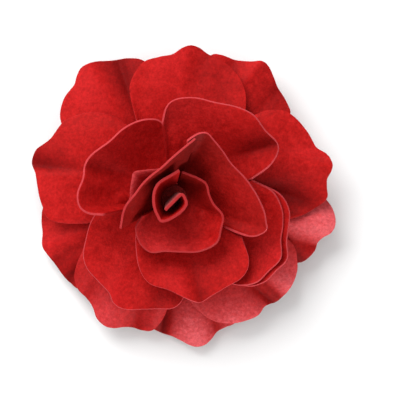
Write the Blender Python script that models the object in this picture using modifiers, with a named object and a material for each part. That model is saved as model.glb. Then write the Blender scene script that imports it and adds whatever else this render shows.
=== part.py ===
"""Flower hair clip: a leather rose glued to a sprung alligator clip. Blender 4.5.

The flower's axis is +Z and passes through the origin, which lies on the flat underside of the
clip's lower jaw. The clip runs along X, with its beak towards -X and its finger tails towards +X.
Dimensions are in millimetres and azimuths in degrees, anticlockwise from +X seen from above.
"""

import math
from typing import NamedTuple

import bmesh
import bpy
import numpy as np
from mathutils import Matrix, Vector, noise
from mathutils.bvhtree import BVHTree

MM = 0.001

# Leather flower
LEATHER = 0.75  # thickness of a petal
LAY = 1.28  # distance kept between the middles of two petals that lie on each other
ACROSS, ALONG = 72, 28  # cells in which a petal is shaped, from side to side and from root to rim
KEPT = 4  # one in this many of their lines is kept in the finished sheet
EASE = (0.07, 0.12)  # how far a petal's rise over another is spread, as shares of its two ways
RUFFLE = 0.9  # height of a large petal's soft undulations at its rim
CREST = 0.35  # how round a fold's crest is, as a share of its widths
CORE_HEAD_RADIUS = 5.2  # of the wider head that the bud's roll stands on
CORE_TOP = 27.2
# Radius and height down the core, which widens in steps so that every layer's roots are glued to it
CORE_STEPS = (
    (4.2, 25.6), (4.2, 21.6), (5.5, 21.1), (5.5, 16.9), (7.5, 16.2), (7.5, 12.6), (9.9, 12.0), (9.9, 10.0),
    (12.4, 9.4),
)

# Clip, from the floor up
STEEL = 0.6
JAW_WIDTH = 7.2
ARM_WIDTH = 9.0
ARM_BOTTOM = 5.6
BEAK_X = -20.0
TAIL_X = 27.0
EAR_X = (7.6, 16.4)
PIVOT = (12.0, 3.2)  # x and z of the hinge pin
PIN_RADIUS = 0.9
PIN_HOLE_RADIUS = 1.0
TAIL_ANGLE = 22.0
TOOTH_PITCH = 2.0
FELT_RADIUS = 15.0
FELT = 1.1
DISC_RADIUS = 16.5
DISC = 1.5
GAP = 0.3

ARM_TOP = ARM_BOTTOM + STEEL
DISC_BOTTOM = ARM_TOP + GAP
DISC_TOP = DISC_BOTTOM + DISC
FELT_BOTTOM = ARM_BOTTOM - GAP - FELT

COLOURS = {
    "leather_red": ((0.52, 0.012, 0.010), 0.55, 0.0),
    "leather_backing": ((0.30, 0.010, 0.010), 0.65, 0.0),
    "felt_red": ((0.36, 0.008, 0.010), 0.95, 0.0),
    "nickel_steel": ((0.72, 0.72, 0.70), 0.25, 1.0),
    "spring_steel": ((0.55, 0.55, 0.56), 0.30, 1.0),
}


class Fold(NamedTuple):
    """A crease in the leather between two points in plan, each (azimuth, radius)."""

    inner: tuple
    outer: tuple
    ridge: float = 0.0  # height of its crest, negative for a valley
    step: float = 0.0  # how much higher its anticlockwise side is
    widths: tuple = (4.0, 4.0)  # of its clockwise and its anticlockwise side
    fades: bool = False  # whether it fades out at its outer end, or goes on over the rim


class Petal(NamedTuple):
    """One leather petal. Its rim runs anticlockwise through the stations (azimuth, radius)."""

    name: str
    heights: tuple  # of the rim, at its first station, its middle and its last
    angles: tuple  # slope of the sheet in degrees, where it leaves the root and at the rim
    root: tuple  # radius and height of the edge that is glued down
    stations: tuple
    folds: tuple = ()
    last_angles: tuple = ()  # the slopes at its last station, where they differ


# In the order that they are glued, so each lies on those before it.
PETALS = (
    Petal("outer_petal_1", (12, 10, 12), (18, -16), (13, 9.2),
          ((92, 32), (97, 41), (101.3, 46.6), (107, 48.8), (113.5, 50), (119.5, 52.2), (124.2, 52.8),
           (127.5, 51.4), (130.3, 49.7), (136.5, 48.8), (142.2, 46.6), (146, 43.5), (150, 38), (153, 32)),
          (Fold((124, 18), (122, 52), 0.8, 1.5, (3.5, 6)),
           Fold((116, 20), (111.5, 42), -1.3, 0, (1.8, 1.8)), Fold((140, 28), (136, 49), -1.0, 0, (3, 4)))),
    Petal("outer_petal_2", (13, 12, 12), (18, -12), (13, 9.2),
          ((26, 33), (31, 43), (36.1, 48.1), (38.5, 49.1), (42.6, 50), (46.9, 50.8), (50.7, 52.6),
           (54.1, 54.2), (57, 54.5), (60.2, 52.5), (65.4, 50.6), (71.4, 50.4), (75.3, 49), (82, 42),
           (88, 32)),
          (Fold((64, 30), (57, 54), 1.4, 0.6, (2, 4)), Fold((70, 30), (66, 51), -1.4, 0, (3, 3)),
           Fold((46, 30), (46, 51), -1.2, 0, (3, 3)))),
    Petal("outer_petal_3", (8, 9, 10), (22, -24), (13, 9.2),
          ((-36, 31), (-31, 42), (-26.7, 46.1), (-24.1, 48.2), (-19.7, 49.8), (-16.2, 49.9), (-13.7, 51.2),
           (-11.6, 53.3), (-9.1, 54.2), (-6.4, 54), (-3.4, 52.9), (-0.7, 51.2), (5, 47), (12, 36)),
          (Fold((-17, 26), (-7.5, 54), 3.4, 0, (3.2, 2.4)), Fold((-14, 32), (-26, 48), -2.8, 0, (2, 2.6)),
           Fold((-20, 34), (-18, 50), -1.0, 0, (2, 2)))),
    Petal("outer_petal_4", (5, 3.4, 5), (16, -30), (13, 9.2),
          ((-115, 32), (-106, 40), (-98.4, 42.9), (-93.5, 44.1), (-89.8, 44.9), (-86.2, 46.4), (-83.2, 48),
           (-80.4, 49), (-77.4, 48.9), (-74.4, 47.6), (-71.4, 45.9), (-67.3, 45.4), (-62.5, 45.3),
           (-57, 41), (-50, 31)),
          (Fold((-92, 26), (-95, 44), -2.6, 0, (2.2, 2.2)), Fold((-84, 28), (-80, 49), 1.6, 0, (4, 4)),
           Fold((-70, 30), (-71, 46), -1.4, 0, (2.5, 2.5)))),
    Petal("outer_petal_5", (5, 5, 9), (18, -24), (13, 9.2),
          ((-190, 31), (-182, 39), (-176.9, 42.4), (-171.1, 43.5), (-165.5, 44), (-160.6, 45.3),
           (-156.5, 44.8), (-151.3, 43.9), (-144.9, 43.6), (-140.3, 43.1), (-136.4, 42.3), (-133, 38),
           (-131, 30)),
          (Fold((-162, 22), (-160, 45), 1.8, 0, (5, 2.5)), Fold((-155, 24), (-153, 44), -1.8, 0, (2.2, 4)),
           Fold((-149, 26), (-142, 43), -2.4, 0, (2.2, 2.2)),
           Fold((-170, 22), (-171, 43), -0.7, 0, (3, 3)))),
    Petal("second_petal_1", (19, 15, 18), (28, -8), (10.5, 10.4),
          ((46, 29), (50, 37), (54, 41.4), (57.5, 43.9), (61.8, 46.1), (66.7, 47.8), (71.7, 48.7),
           (76.2, 49.4), (79.9, 50.8), (83.2, 51.2), (86.3, 50), (89.8, 47.9), (95, 47.2), (101.3, 46.4),
           (105.9, 43.8), (110.1, 40.2), (112.3, 35.4), (114, 29)),
          (Fold((87, 24), (84, 51), 1.0, 0.8, (3, 6)), Fold((79, 28), (77, 49), -0.8, 0, (3, 4)))),
    Petal("second_petal_2", (16, 13, 13), (26, -20), (10.5, 10.4),
          ((118, 24), (121.2, 28.7), (125.2, 33.3), (128.8, 36.3), (134.2, 39.9), (139.5, 42.2), (145, 44),
           (152.7, 44.6), (156.4, 46), (159.6, 47.6), (163.3, 47.9), (166.2, 47.3), (169.4, 45.6),
           (173.8, 44.5), (178.4, 43.6), (183.5, 42.4), (188.5, 41), (192, 36), (195, 29)),
          (Fold((157, 22), (166, 47.5), -2.0, 0, (4, 1.5)), Fold((162, 24), (169.5, 46), 1.0, 0, (1.5, 4)))),
    Petal("second_petal_3", (11, 16, 18), (28, -14), (10.5, 10.4),
          ((-14, 34), (-9.2, 38.8), (-6.2, 43.6), (-2.1, 48.3), (0.9, 51), (4.2, 51), (7.8, 51.4),
           (10.3, 53.1), (12.4, 54), (14.5, 53.8), (16.4, 53), (19.7, 50.5), (23, 50), (26.8, 49.7),
           (33.2, 48.7), (38.4, 47), (42.7, 43.3), (45.6, 38.8), (49, 33)),
          (Fold((30, 32), (16, 53), 1.2, 0, (1.2, 1.2)), Fold((24, 20), (-3, 52), -2.8, 0, (3, 3), True))),
    Petal("second_petal_4", (9, 8, 12), (24, -28), (10.5, 10.4),
          ((-84, 29), (-78, 35.5), (-73.5, 40), (-69, 43), (-62.5, 45.5), (-56.2, 46.9), (-52.7, 47.2),
           (-49.1, 46.4), (-45, 47.6), (-42.6, 48.1), (-36.9, 48.4), (-31.3, 47.6), (-26.7, 46), (-20, 42),
           (-16, 33)),
          (Fold((-49, 28), (-45.2, 48), -2.4, 0, (2, 1.3)),
           Fold((-41, 30), (-42, 48), -1.6, 0, (1.3, 1.6)), Fold((-36, 28), (-36, 48), 1.4, 0, (3, 3)),
           Fold((-62, 28), (-62, 45), 1.2, 0, (4, 4)))),
    Petal("second_petal_5", (8, 6, 7), (24, -30), (10.5, 10.4),
          ((-160, 25), (-154.5, 31), (-149.4, 34.4), (-145.9, 37.7), (-141.6, 40.9), (-136.4, 42.6),
           (-131.8, 42.7), (-128.1, 43.2), (-125.3, 44.3), (-122.2, 46.1), (-118.1, 46.9), (-114.5, 46.2),
           (-110.6, 44.5), (-106.9, 43.8), (-103, 43.9), (-98.4, 43.1), (-94, 38), (-90, 30)),
          (Fold((-125, 26), (-120, 47), 1.6, 0, (3, 3)), Fold((-109, 26), (-106, 44), -0.9, 0, (3, 3)),
           Fold((-136, 30), (-131, 43), -1.2, 0, (2, 3)))),
    Petal("middle_petal_1", (18, 22, 23), (8, 26), (8.5, 13.5),
          ((-58, 26), (-50, 36.5), (-42, 40.4), (-34, 41.3), (-27, 42.4), (-20, 40), (-13, 39.2),
           (-5, 38.6), (3, 35.5), (11, 29))),
    Petal("middle_petal_2", (18, 21, 25), (4, 30), (8.5, 16),
          ((-62, 25), (-54, 34), (-45, 38.5), (-36, 39.4), (-28, 40.4), (-20, 38), (-12, 37.2), (-4, 36),
           (5, 33), (14, 27)),
          (Fold((-24, 20), (-28, 40), 1.6, 0, (3, 3)),)),
    Petal("middle_petal_3", (20, 19, 18), (14, 12), (8.5, 13),
          ((-182, 19), (-174, 23.5), (-165, 27.5), (-155.1, 31.2), (-148, 34.3), (-141, 35.8),
           (-130.5, 36.1), (-124.1, 36.8), (-119.5, 38.9), (-113.5, 39.1), (-105.3, 37.2), (-97, 36),
           (-90, 35.6), (-84.8, 33.5), (-79, 28), (-75, 23)),
          (Fold((-129, 16), (-119, 39), 1.0, 0, (5, 4)), Fold((-101, 18), (-98, 36), -0.9, 0, (4, 4)))),
    Petal("middle_petal_4", (22, 30, 31), (14, 46), (8.5, 14),
          ((85, 19), (91, 22.5), (97, 25.4), (102, 27), (112, 28), (124, 28.2), (137, 28), (150, 30),
           (158, 30.6), (166, 29.8), (176, 30.8), (184, 30.2), (189, 27.5), (192, 23)),
          (Fold((139, 9), (158.5, 30.5), -1.5, 0, (3.5, 2.0)), Fold((130, 14), (134, 28), 1.2, 0, (5, 5)))),
    Petal("middle_petal_5", (29, 33, 28), (12, 32), (8.5, 16.5),
          ((15, 27), (20, 34.5), (27, 39), (37, 38), (46, 38.4), (55, 37), (66, 34.8), (77, 34.2),
           (87, 33), (93, 30.6), (97, 25.5)),
          (Fold((56, 14), (28, 39), -2.3, 0, (2.0, 5)),)),
    Petal("middle_petal_6", (26, 24, 25), (8, 4), (8, 17.5),
          ((-142, 15), (-126, 20), (-115, 25), (-105, 28.3), (-92, 29.5), (-82, 32.5), (-75, 34.8),
           (-68, 34), (-58, 33.6), (-47, 34.2), (-38, 32), (-28, 26)),
          (Fold((-66, 14), (-74, 35), -1.8, 0, (2.4, 2.4)), Fold((-86, 14), (-82, 33), 1.2, 0, (3, 3)))),
    Petal("inner_petal_1", (26, 36, 41), (8, 36), (6.4, 19),
          ((-27, 20), (-26, 25), (-24.3, 28.8), (-20.8, 31.2), (-17, 32.4), (-13, 31.5), (-7, 30.3),
           (2.5, 27.9), (10.4, 26.1), (17.8, 24.7), (31.4, 22.7), (44.2, 23), (55, 23.8), (61.9, 24.6),
           (67.5, 23.5), (72, 21.5), (75, 20))),
    Petal("inner_petal_2", (33, 35.5, 32), (60, -4), (6.4, 17),
          ((100, 11.0), (116, 11.3), (130, 12.9), (143, 15.3), (153, 14.7), (166, 14.0), (178, 13.8),
           (190, 15.4))),
    Petal("inner_petal_3", (42.5, 40, 31), (52, 50), (6, 20),
          ((69, 21.4), (78, 17), (90, 13.6), (108, 11), (128, 10.4), (150, 10.8), (170, 12), (190, 15.6),
           (209, 19.2)), last_angles=(30, 66)),
    Petal("bud_petal", (29, 31, 33.5), (14, 28), (4.7, 22),
          ((-152, 11), (-142, 15), (-126, 17.6), (-112, 18.4), (-98, 16.9), (-80, 17.2), (-62, 19),
           (-44, 20.2), (-30, 18.6), (-17, 17.4), (-6, 13.8), (8, 12.3), (25, 12.4), (40, 11.1),
           (54, 10.1), (66, 9.8), (70.5, 9.6)), last_angles=(0, 78)),
)

# The bud's innermost petal is rolled round itself: plan of its rim, from the inner end outwards.
ROLL_HEIGHTS = (CORE_TOP + GAP, 40.0)
ROLL_TAPER = 0.62  # size of the roll's plan at its foot, as a share of the rim's
ROLL_LEATHER = 0.9
ROLL_LEAN = (-0.5, 0.9)  # how far the foot of the folded inner end is set aside
ROLL_PLAN = (
    (-2.1, -3.3), (0.2, -1.0), (2.4, 1.2), (3.4, 1.8), (4.2, 0.8), (4.8, -1.1), (3.9, -2.9), (1.6, -4.9),
    (-1.3, -6.5), (-3.5, -6.8), (-4.5, -5.2), (-5.4, -3.2), (-5.9, -0.7), (-5.8, 2.1), (-5.0, 4.4),
    (-3.5, 6.1), (-0.3, 8.0), (2.5, 9.6),
)

# Camera and light, metres


# ------------------------------------------------------------------ scene helpers


def clear_scene():
    for obj in list(bpy.data.objects):
        bpy.data.objects.remove(obj, do_unlink=True)


def collection(name):
    made = bpy.data.collections.new(name)
    bpy.context.scene.collection.children.link(made)
    return made


def material(name):
    colour, roughness, metallic = COLOURS[name]
    made = bpy.data.materials.get(name)
    if made is None:
        made = bpy.data.materials.new(name)
        made.use_nodes = True
        shader = made.node_tree.nodes["Principled BSDF"]
        shader.inputs["Base Color"].default_value = (*colour, 1.0)
        shader.inputs["Roughness"].default_value = roughness
        shader.inputs["Metallic"].default_value = metallic
    return made


def add_object(name, mesh, group, finish=None):
    obj = bpy.data.objects.new(name, mesh)
    group.objects.link(obj)
    if finish:
        obj.data.materials.append(material(finish))
    return obj


def empty(name, group, x=0.0, z=0.0):
    """Carries a set of pieces; the one on the hinge pin's axis carries the piece that swings."""
    obj = bpy.data.objects.new(name, None)
    obj.empty_display_size = 5 * MM
    obj.location = (x * MM, 0, z * MM)
    group.objects.link(obj)
    return obj


def carry(obj, parent):
    """Parents obj where it stands."""
    obj.parent = parent
    obj.matrix_parent_inverse = Matrix.Translation(parent.location).inverted()
    return obj


def helper(obj):
    """A cutter or a guide: kept, but not part of the object."""
    obj.hide_render = True
    obj.display_type = "WIRE"
    return obj


def join_or_cut(obj, other, operation):
    step = obj.modifiers.new(f"{operation.lower()}_{other.name}", "BOOLEAN")
    step.operation = operation
    step.object = other


# ------------------------------------------------------------------ petals


def spline(points, count):
    """count points along a smooth curve through the given points, evenly spaced by length."""
    p = np.array(points, float)
    ends = np.vstack([2 * p[0] - p[1], p, 2 * p[-1] - p[-2]])
    fine = []
    for a, b, c, d in zip(ends, ends[1:], ends[2:], ends[3:]):
        for t in np.linspace(0, 1, 16, endpoint=False):
            fine.append(
                0.5 * (2 * b + (c - a) * t + (2 * a - 5 * b + 4 * c - d) * t**2
                       + (3 * b - a - 3 * c + d) * t**3)
            )
    fine = np.array([*fine, p[-1]])
    travel = np.concatenate([[0], np.cumsum(np.linalg.norm(np.diff(fine, axis=0), axis=1))])
    wanted = np.linspace(0, travel[-1], count)
    return np.column_stack([np.interp(wanted, travel, fine[:, k]) for k in range(p.shape[1])])


def on_plan(azimuth, radius):
    angle = math.radians(azimuth)
    return np.array([radius * math.cos(angle), radius * math.sin(angle)])


def rim_plan(petal, count):
    """Plan of a petal's rim, and the azimuth of each of its points."""
    polar = sorted(petal.stations)
    points = spline([on_plan(*station) for station in polar], count)
    azimuth = np.unwrap(np.arctan2(points[:, 1], points[:, 0]))
    middle = math.radians((polar[0][0] + polar[-1][0]) / 2)
    azimuth += 2 * math.pi * round((middle - azimuth.mean()) / (2 * math.pi))
    return points, azimuth


def petal_sheet(petal):
    """The middle of the leather as a grid of points, [across, along, xyz], before it is laid."""
    rim, azimuth = rim_plan(petal, ACROSS + 1)
    across = np.linspace(0, 1, ACROSS + 1)
    first, middle, last = petal.heights
    rim_height = first * (1 - across) * (1 - 2 * across) + 4 * middle * across * (1 - across)
    rim_height += last * across * (2 * across - 1)
    root = petal.root[0] * np.column_stack([np.cos(azimuth), np.sin(azimuth)])
    length = np.linalg.norm(rim - root, axis=1)
    both_ends = zip(petal.angles, petal.last_angles or petal.angles)
    angles = [np.interp(across, (0, 1), ends) for ends in both_ends]
    leave, arrive = (np.tan(np.radians(a)) * length for a in angles)
    rise = rim_height - petal.root[1]
    sheet = np.zeros((ACROSS + 1, ALONG + 1, 3))
    for j, v in enumerate(np.linspace(0, 1, ALONG + 1)):
        sheet[:, j, :2] = root + (rim - root) * v
        hermite = (3 * v**2 - 2 * v**3, v**3 - 2 * v**2 + v, v**3 - v**2)
        sheet[:, j, 2] = petal.root[1] + rise * hermite[0] + leave * hermite[1] + arrive * hermite[2]
    sheet[:, :, 2] += ruffles(petal, azimuth)
    for fold in petal.folds:
        sheet[:, :, 2] += fold_height(fold, sheet[:, :, :2])
    return sheet


def ruffles(petal, azimuth):
    """Soft undulations that run outwards and grow towards the rim."""
    reach = max(radius for _, radius in petal.stations)
    seed = sum(petal.stations[0]) * 0.37
    relief = np.zeros((ACROSS + 1, ALONG + 1))
    for i, j in np.ndindex(relief.shape):
        v = j / ALONG
        waves = noise.noise(Vector((azimuth[i] * 4.2, v * reach / 24, seed)))
        relief[i, j] = RUFFLE * (reach / 50) ** 2 * v**1.5 * waves
    return relief


def fold_height(fold, plan):
    """How much a fold raises each point of the plan."""
    inner, outer = on_plan(*fold.inner), on_plan(*fold.outer)
    way = outer - inner
    length = np.linalg.norm(way)
    way = way / length
    along = np.clip((plan - inner) @ way / length, 0, 1)
    aside = (plan - inner) @ np.array([-way[1], way[0]])
    grown = np.sin(math.pi * along) if fold.fades else along**2 * (3 - 2 * along)
    share = aside / np.where(aside < 0, *fold.widths)
    crest = np.exp(CREST - np.sqrt(share**2 + CREST**2))
    return grown * (fold.ridge * crest + fold.step * np.tanh(share))


def grid_bmesh(sheet):
    """A mesh of the sheet's points, joined as a grid."""
    across, along = sheet.shape[0] - 1, sheet.shape[1] - 1
    bm = bmesh.new()
    bmesh.ops.create_grid(bm, x_segments=across, y_segments=along, size=1.0)
    for vert in bm.verts:
        i = round((vert.co.x + 1) / 2 * across)
        j = round((vert.co.y + 1) / 2 * along)
        vert.co = sheet[i, j]
        vert.index = i * (along + 1) + j
    bm.verts.sort()
    bmesh.ops.reverse_faces(bm, faces=bm.faces)
    return bm


def easing(count, share):
    """A matrix that blurs count + 1 evenly spaced values over a share of their span."""
    place = np.arange(count + 1) / count
    weight = np.exp(-((place[:, None] - place[None, :]) ** 2) / (2 * share**2))
    return weight / weight.sum(axis=1, keepdims=True)


def lay_on(sheet, laid):
    """Raises the sheet where it would touch the petals already laid, and eases the rise around."""
    need = np.zeros(sheet.shape[:2])
    down = Vector((0, 0, -1))
    for tree in laid:
        for i, j in np.ndindex(need.shape):
            x, y, z = sheet[i, j]
            hit, normal, _, _ = tree.ray_cast(Vector((x, y, 200.0)), down)
            if hit is not None:
                clear = LAY / max(abs(normal.z), 0.3)
                need[i, j] = max(need[i, j], hit.z + clear - z)
    need = sliding_max(sliding_max(need, 2).T, 1).T
    lift = need.copy()
    blur_across, blur_along = easing(ACROSS, EASE[0]), easing(ALONG, EASE[1])
    for _ in range(30):
        lift = np.maximum(need, blur_across @ lift @ blur_along.T * 0.98)
    sheet[:, :, 2] += easing(ACROSS, 1.3 / ACROSS) @ lift @ easing(ALONG, 1.0 / ALONG).T
    return sheet


def sliding_max(values, reach):
    """Each row's greatest value within reach rows of it."""
    padded = np.pad(values, ((reach, reach), (0, 0)), mode="edge")
    return np.max([padded[k:k + len(values)] for k in range(2 * reach + 1)], axis=0)


def widened(sheet):
    """The sheet with its rim and sides carried on a little, so the next petal clears the edges."""
    big = sheet.copy()
    for edge, inner in ((big[:, -1], big[:, -2]), (big[0], big[1]), (big[-1], big[-2])):
        way = edge - inner
        edge += way * (0.9 / np.linalg.norm(way, axis=1, keepdims=True))
    return big


def make_leather(name, sheet, thickness, group):
    bm = grid_bmesh(sheet * MM)
    mesh = bpy.data.meshes.new(name)
    bm.to_mesh(mesh)
    bm.free()
    mesh.shade_smooth()
    obj = add_object(name, mesh, group, "leather_red")
    shell = obj.modifiers.new("leather", "SOLIDIFY")
    shell.thickness = thickness * MM
    shell.offset = 0.0
    return obj


def make_petals(group):
    laid = []
    made = []
    for petal in PETALS:
        sheet = lay_on(petal_sheet(petal), laid)[::KEPT, ::KEPT]
        guide = grid_bmesh(widened(sheet))
        laid.append(BVHTree.FromBMesh(guide))
        guide.free()
        made.append(make_leather(petal.name, sheet, LEATHER, group))
    return made


def make_roll(group):
    """The innermost petal: a strip of leather on edge, rolled up and narrower at its foot."""
    plan = spline(ROLL_PLAN, 41)
    low, high = ROLL_HEIGHTS
    share = np.linspace(0, 1, 5)
    size = ROLL_TAPER + (1 - ROLL_TAPER) * share
    sheet = np.zeros((len(plan), len(share), 3))
    sheet[:, :, :2] = plan[:, None, :] * size[None, :, None]
    folded = 1 - np.clip((np.linspace(0, 1, len(plan)) - 0.22) / 0.2, 0, 1)
    sheet[:, :, :2] += folded[:, None, None] * (1 - share)[None, :, None] * np.array(ROLL_LEAN)
    sheet[:, :, 2] = low + (high - low) * share
    return make_leather("bud_roll", sheet[::-1], ROLL_LEATHER, group)


# ------------------------------------------------------------------ base and clip


def turned(name, profile, group, finish, steps=32):
    """A solid turned about Z: the profile (radius, z) runs from top to bottom down its outside."""
    mesh = bpy.data.meshes.new(name)
    points = [(r * MM, 0, z * MM) for r, z in profile]
    mesh.from_pydata(points, [(i, i + 1) for i in range(len(points) - 1)], [])
    obj = add_object(name, mesh, group, finish)
    screw = obj.modifiers.new("turn", "SCREW")
    screw.steps = steps
    screw.render_steps = steps
    screw.use_merge_vertices = True
    screw.merge_threshold = 0.00001
    return obj


def cylinder_along_y(name, radius, length, x, z, group, segments=24):
    bm = bmesh.new()
    bmesh.ops.create_cone(bm, cap_ends=True, segments=segments, radius1=radius * MM,
                          radius2=radius * MM, depth=length * MM)
    bmesh.ops.rotate(bm, verts=bm.verts, matrix=Matrix.Rotation(math.pi / 2, 3, "X"))
    mesh = bpy.data.meshes.new(name)
    bm.to_mesh(mesh)
    bm.free()
    obj = add_object(name, mesh, group)
    obj.location = (x * MM, 0, z * MM)
    return obj


def box(name, low, high, group):
    bm = bmesh.new()
    bmesh.ops.create_cube(bm, size=1.0)
    size = [(b - a) * MM for a, b in zip(low, high)]
    middle = [(a + b) / 2 * MM for a, b in zip(low, high)]
    bmesh.ops.scale(bm, verts=bm.verts, vec=size)
    bmesh.ops.translate(bm, verts=bm.verts, vec=middle)
    mesh = bpy.data.meshes.new(name)
    bm.to_mesh(mesh)
    bm.free()
    return add_object(name, mesh, group)


def plate(name, outline, thickness, group, matrix):
    """A flat outline as a 2D curve, extruded to both sides, moved by matrix and made a mesh."""
    curve = bpy.data.curves.new(name, "CURVE")
    curve.dimensions = "2D"
    curve.fill_mode = "BOTH"
    curve.extrude = thickness / 2 * MM
    line = curve.splines.new("POLY")
    line.points.add(len(outline) - 1)
    for point, (a, b) in zip(line.points, outline):
        point.co = (a * MM, b * MM, 0, 1)
    line.use_cyclic_u = True
    guide = bpy.data.objects.new(name + "_outline", curve)
    group.objects.link(guide)
    guide.matrix_world = matrix
    bpy.context.view_layer.update()
    graph = bpy.context.evaluated_depsgraph_get()
    mesh = bpy.data.meshes.new_from_object(guide.evaluated_get(graph))
    bm = bmesh.new()
    bm.from_mesh(mesh)
    bmesh.ops.remove_doubles(bm, verts=bm.verts, dist=1e-6)
    bmesh.ops.recalc_face_normals(bm, faces=bm.faces)
    bm.to_mesh(mesh)
    bm.free()
    obj = add_object(name, mesh, group)
    obj.matrix_world = matrix
    bpy.data.objects.remove(guide)
    return obj


def lying(x=0.0, z=0.0, tilt=0.0):
    """Places an outline drawn as (x, y) flat at height z, tilted about Y at x."""
    return Matrix.Translation((x * MM, 0, z * MM)) @ Matrix.Rotation(math.radians(-tilt), 4, "Y")


def standing(y):
    """Places an outline drawn as (x, z) upright in the plane at y."""
    return Matrix.Translation((0, y * MM, 0)) @ Matrix.Rotation(math.pi / 2, 4, "X")


def arc(centre, radius, start, stop, count):
    """Points on an arc, from start to stop in degrees."""
    return [
        (centre[0] + radius * math.cos(math.radians(a)), centre[1] + radius * math.sin(math.radians(a)))
        for a in np.linspace(start, stop, count)
    ]


def make_upper_arm(group, cutters):
    """The arm that is glued to the flower: blade, drooped nose, raised tail and two outer ears."""
    half, nose = ARM_WIDTH / 2, 2.4
    middle = ARM_BOTTOM + STEEL / 2
    front, rear = BEAK_X + 2.6, EAR_X[1]
    blade = [(front, -nose), (rear, -half), (rear, half), (front, nose)]
    arm = plate("clip_upper_arm", blade, STEEL, group, lying(z=middle))
    arm.data.materials.append(material("nickel_steel"))
    tip = [(0.3, nose), (-1.6, 2.1), *arc((-1.6, 0), 1.4, 120, 240, 5), (-1.6, -2.1), (0.3, -nose)]
    droop = plate("nose", tip, STEEL, cutters, lying(front, middle, 24))
    tail_length = (TAIL_X - rear) / math.cos(math.radians(TAIL_ANGLE))
    grip = [(-0.3, -half), *arc((tail_length - half, 0), half, -90, 90, 9), (-0.3, half)]
    tail = plate("raised_tail", grip, STEEL, cutters, lying(rear, middle, TAIL_ANGLE))
    parts = [droop, tail]
    for side, name in ((-1, "outer_ear_right"), (1, "outer_ear_left")):
        ear = [(EAR_X[0], middle), *arc(PIVOT, 2.3, 205, 335, 9), (EAR_X[1], middle)]
        parts.append(plate(name, ear, STEEL, cutters, standing(side * (half - STEEL / 2))))
    for other in parts:
        join_or_cut(arm, helper(other), "UNION")
    hole = cylinder_along_y("arm_pin_hole", PIN_HOLE_RADIUS, 12, *PIVOT, cutters)
    join_or_cut(arm, helper(hole), "DIFFERENCE")
    return arm


def make_lower_jaw(group, cutters):
    """The jaw that swings: flat sole, two toothed walls that grow into inner ears, and its tail."""
    half = JAW_WIDTH / 2
    rear = EAR_X[1] + 1.0
    tail_half = ARM_WIDTH / 2
    sole = [(BEAK_X + 1, -1.7), (BEAK_X + 4, -half), (rear, -half), (rear + 1.4, -tail_half),
            *arc((TAIL_X - tail_half, 0), tail_half, -90, 90, 9),
            (rear + 1.4, tail_half), (rear, half), (BEAK_X + 4, half), (BEAK_X + 1, 1.7), (BEAK_X, 0)]
    jaw = plate("clip_lower_jaw", sole, STEEL, group, lying(z=STEEL / 2))
    jaw.data.materials.append(material("nickel_steel"))
    tooth_top = FELT_BOTTOM - GAP
    crest = []
    x = -3.0
    while x > BEAK_X + 4 + TOOTH_PITCH / 2:
        crest += [(x, tooth_top - 1.1), (x - TOOTH_PITCH / 2, tooth_top)]
        x -= TOOTH_PITCH
    wall = [(BEAK_X + 4, STEEL / 2), (EAR_X[1], STEEL / 2), *arc(PIVOT, 2.1, 0, 180, 9), (6.0, 2.2), *crest,
            (BEAK_X + 4, tooth_top - 1.1)]
    for side, name in ((-1, "toothed_wall_right"), (1, "toothed_wall_left")):
        other = plate(name, wall, STEEL, cutters, standing(side * (half - STEEL / 2)))
        join_or_cut(jaw, helper(other), "UNION")
    hole = cylinder_along_y("jaw_pin_hole", PIN_HOLE_RADIUS, 12, *PIVOT, cutters)
    join_or_cut(jaw, helper(hole), "DIFFERENCE")
    return jaw


def make_pin(group):
    """A rivet across all four ears, with a domed head at each end."""
    grip = ARM_WIDTH / 2 + 0.1
    head = [(0, grip + 0.7), (0.8, grip + 0.55), (1.4, grip + 0.25), (1.5, grip)]
    profile = [*head, (PIN_RADIUS, grip), (PIN_RADIUS, -grip), *[(r, -z) for r, z in reversed(head)]]
    pin = turned("hinge_pin", profile, group, "nickel_steel", 20)
    pin.rotation_euler = (math.pi / 2, 0, 0)
    pin.location = (PIVOT[0] * MM, 0, PIVOT[1] * MM)
    return pin


def make_spring(group):
    """A torsion spring round the pin: its legs press the two tails apart."""
    wire, radius, turns, per_turn = 0.35, 1.66, 4, 12
    reach, half = 9.5, 1.9
    points = [(reach, -half, 3.7), (5.0, -half, 1.95), (0.6, -half, radius)]
    start = 70.0
    for n in range(1, turns * per_turn):
        angle = math.radians(start + n * 360 / per_turn)
        y = half * (2 * n / (turns * per_turn) - 1)
        points.append((radius * math.cos(angle), y, radius * math.sin(angle)))
    points += [(1.2, half, -radius + 0.1), (5.0, half, -1.9), (reach, half, -1.9)]
    curve = bpy.data.curves.new("torsion_spring", "CURVE")
    curve.dimensions = "3D"
    curve.bevel_depth = wire * MM
    curve.bevel_resolution = 2
    curve.use_fill_caps = True
    line = curve.splines.new("POLY")
    line.points.add(len(points) - 1)
    for point, (x, y, z) in zip(line.points, points):
        point.co = (x * MM, y * MM, z * MM, 1)
    spring = add_object("torsion_spring", curve, group, "spring_steel")
    spring.location = (PIVOT[0] * MM, 0, PIVOT[1] * MM)
    return spring


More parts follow.
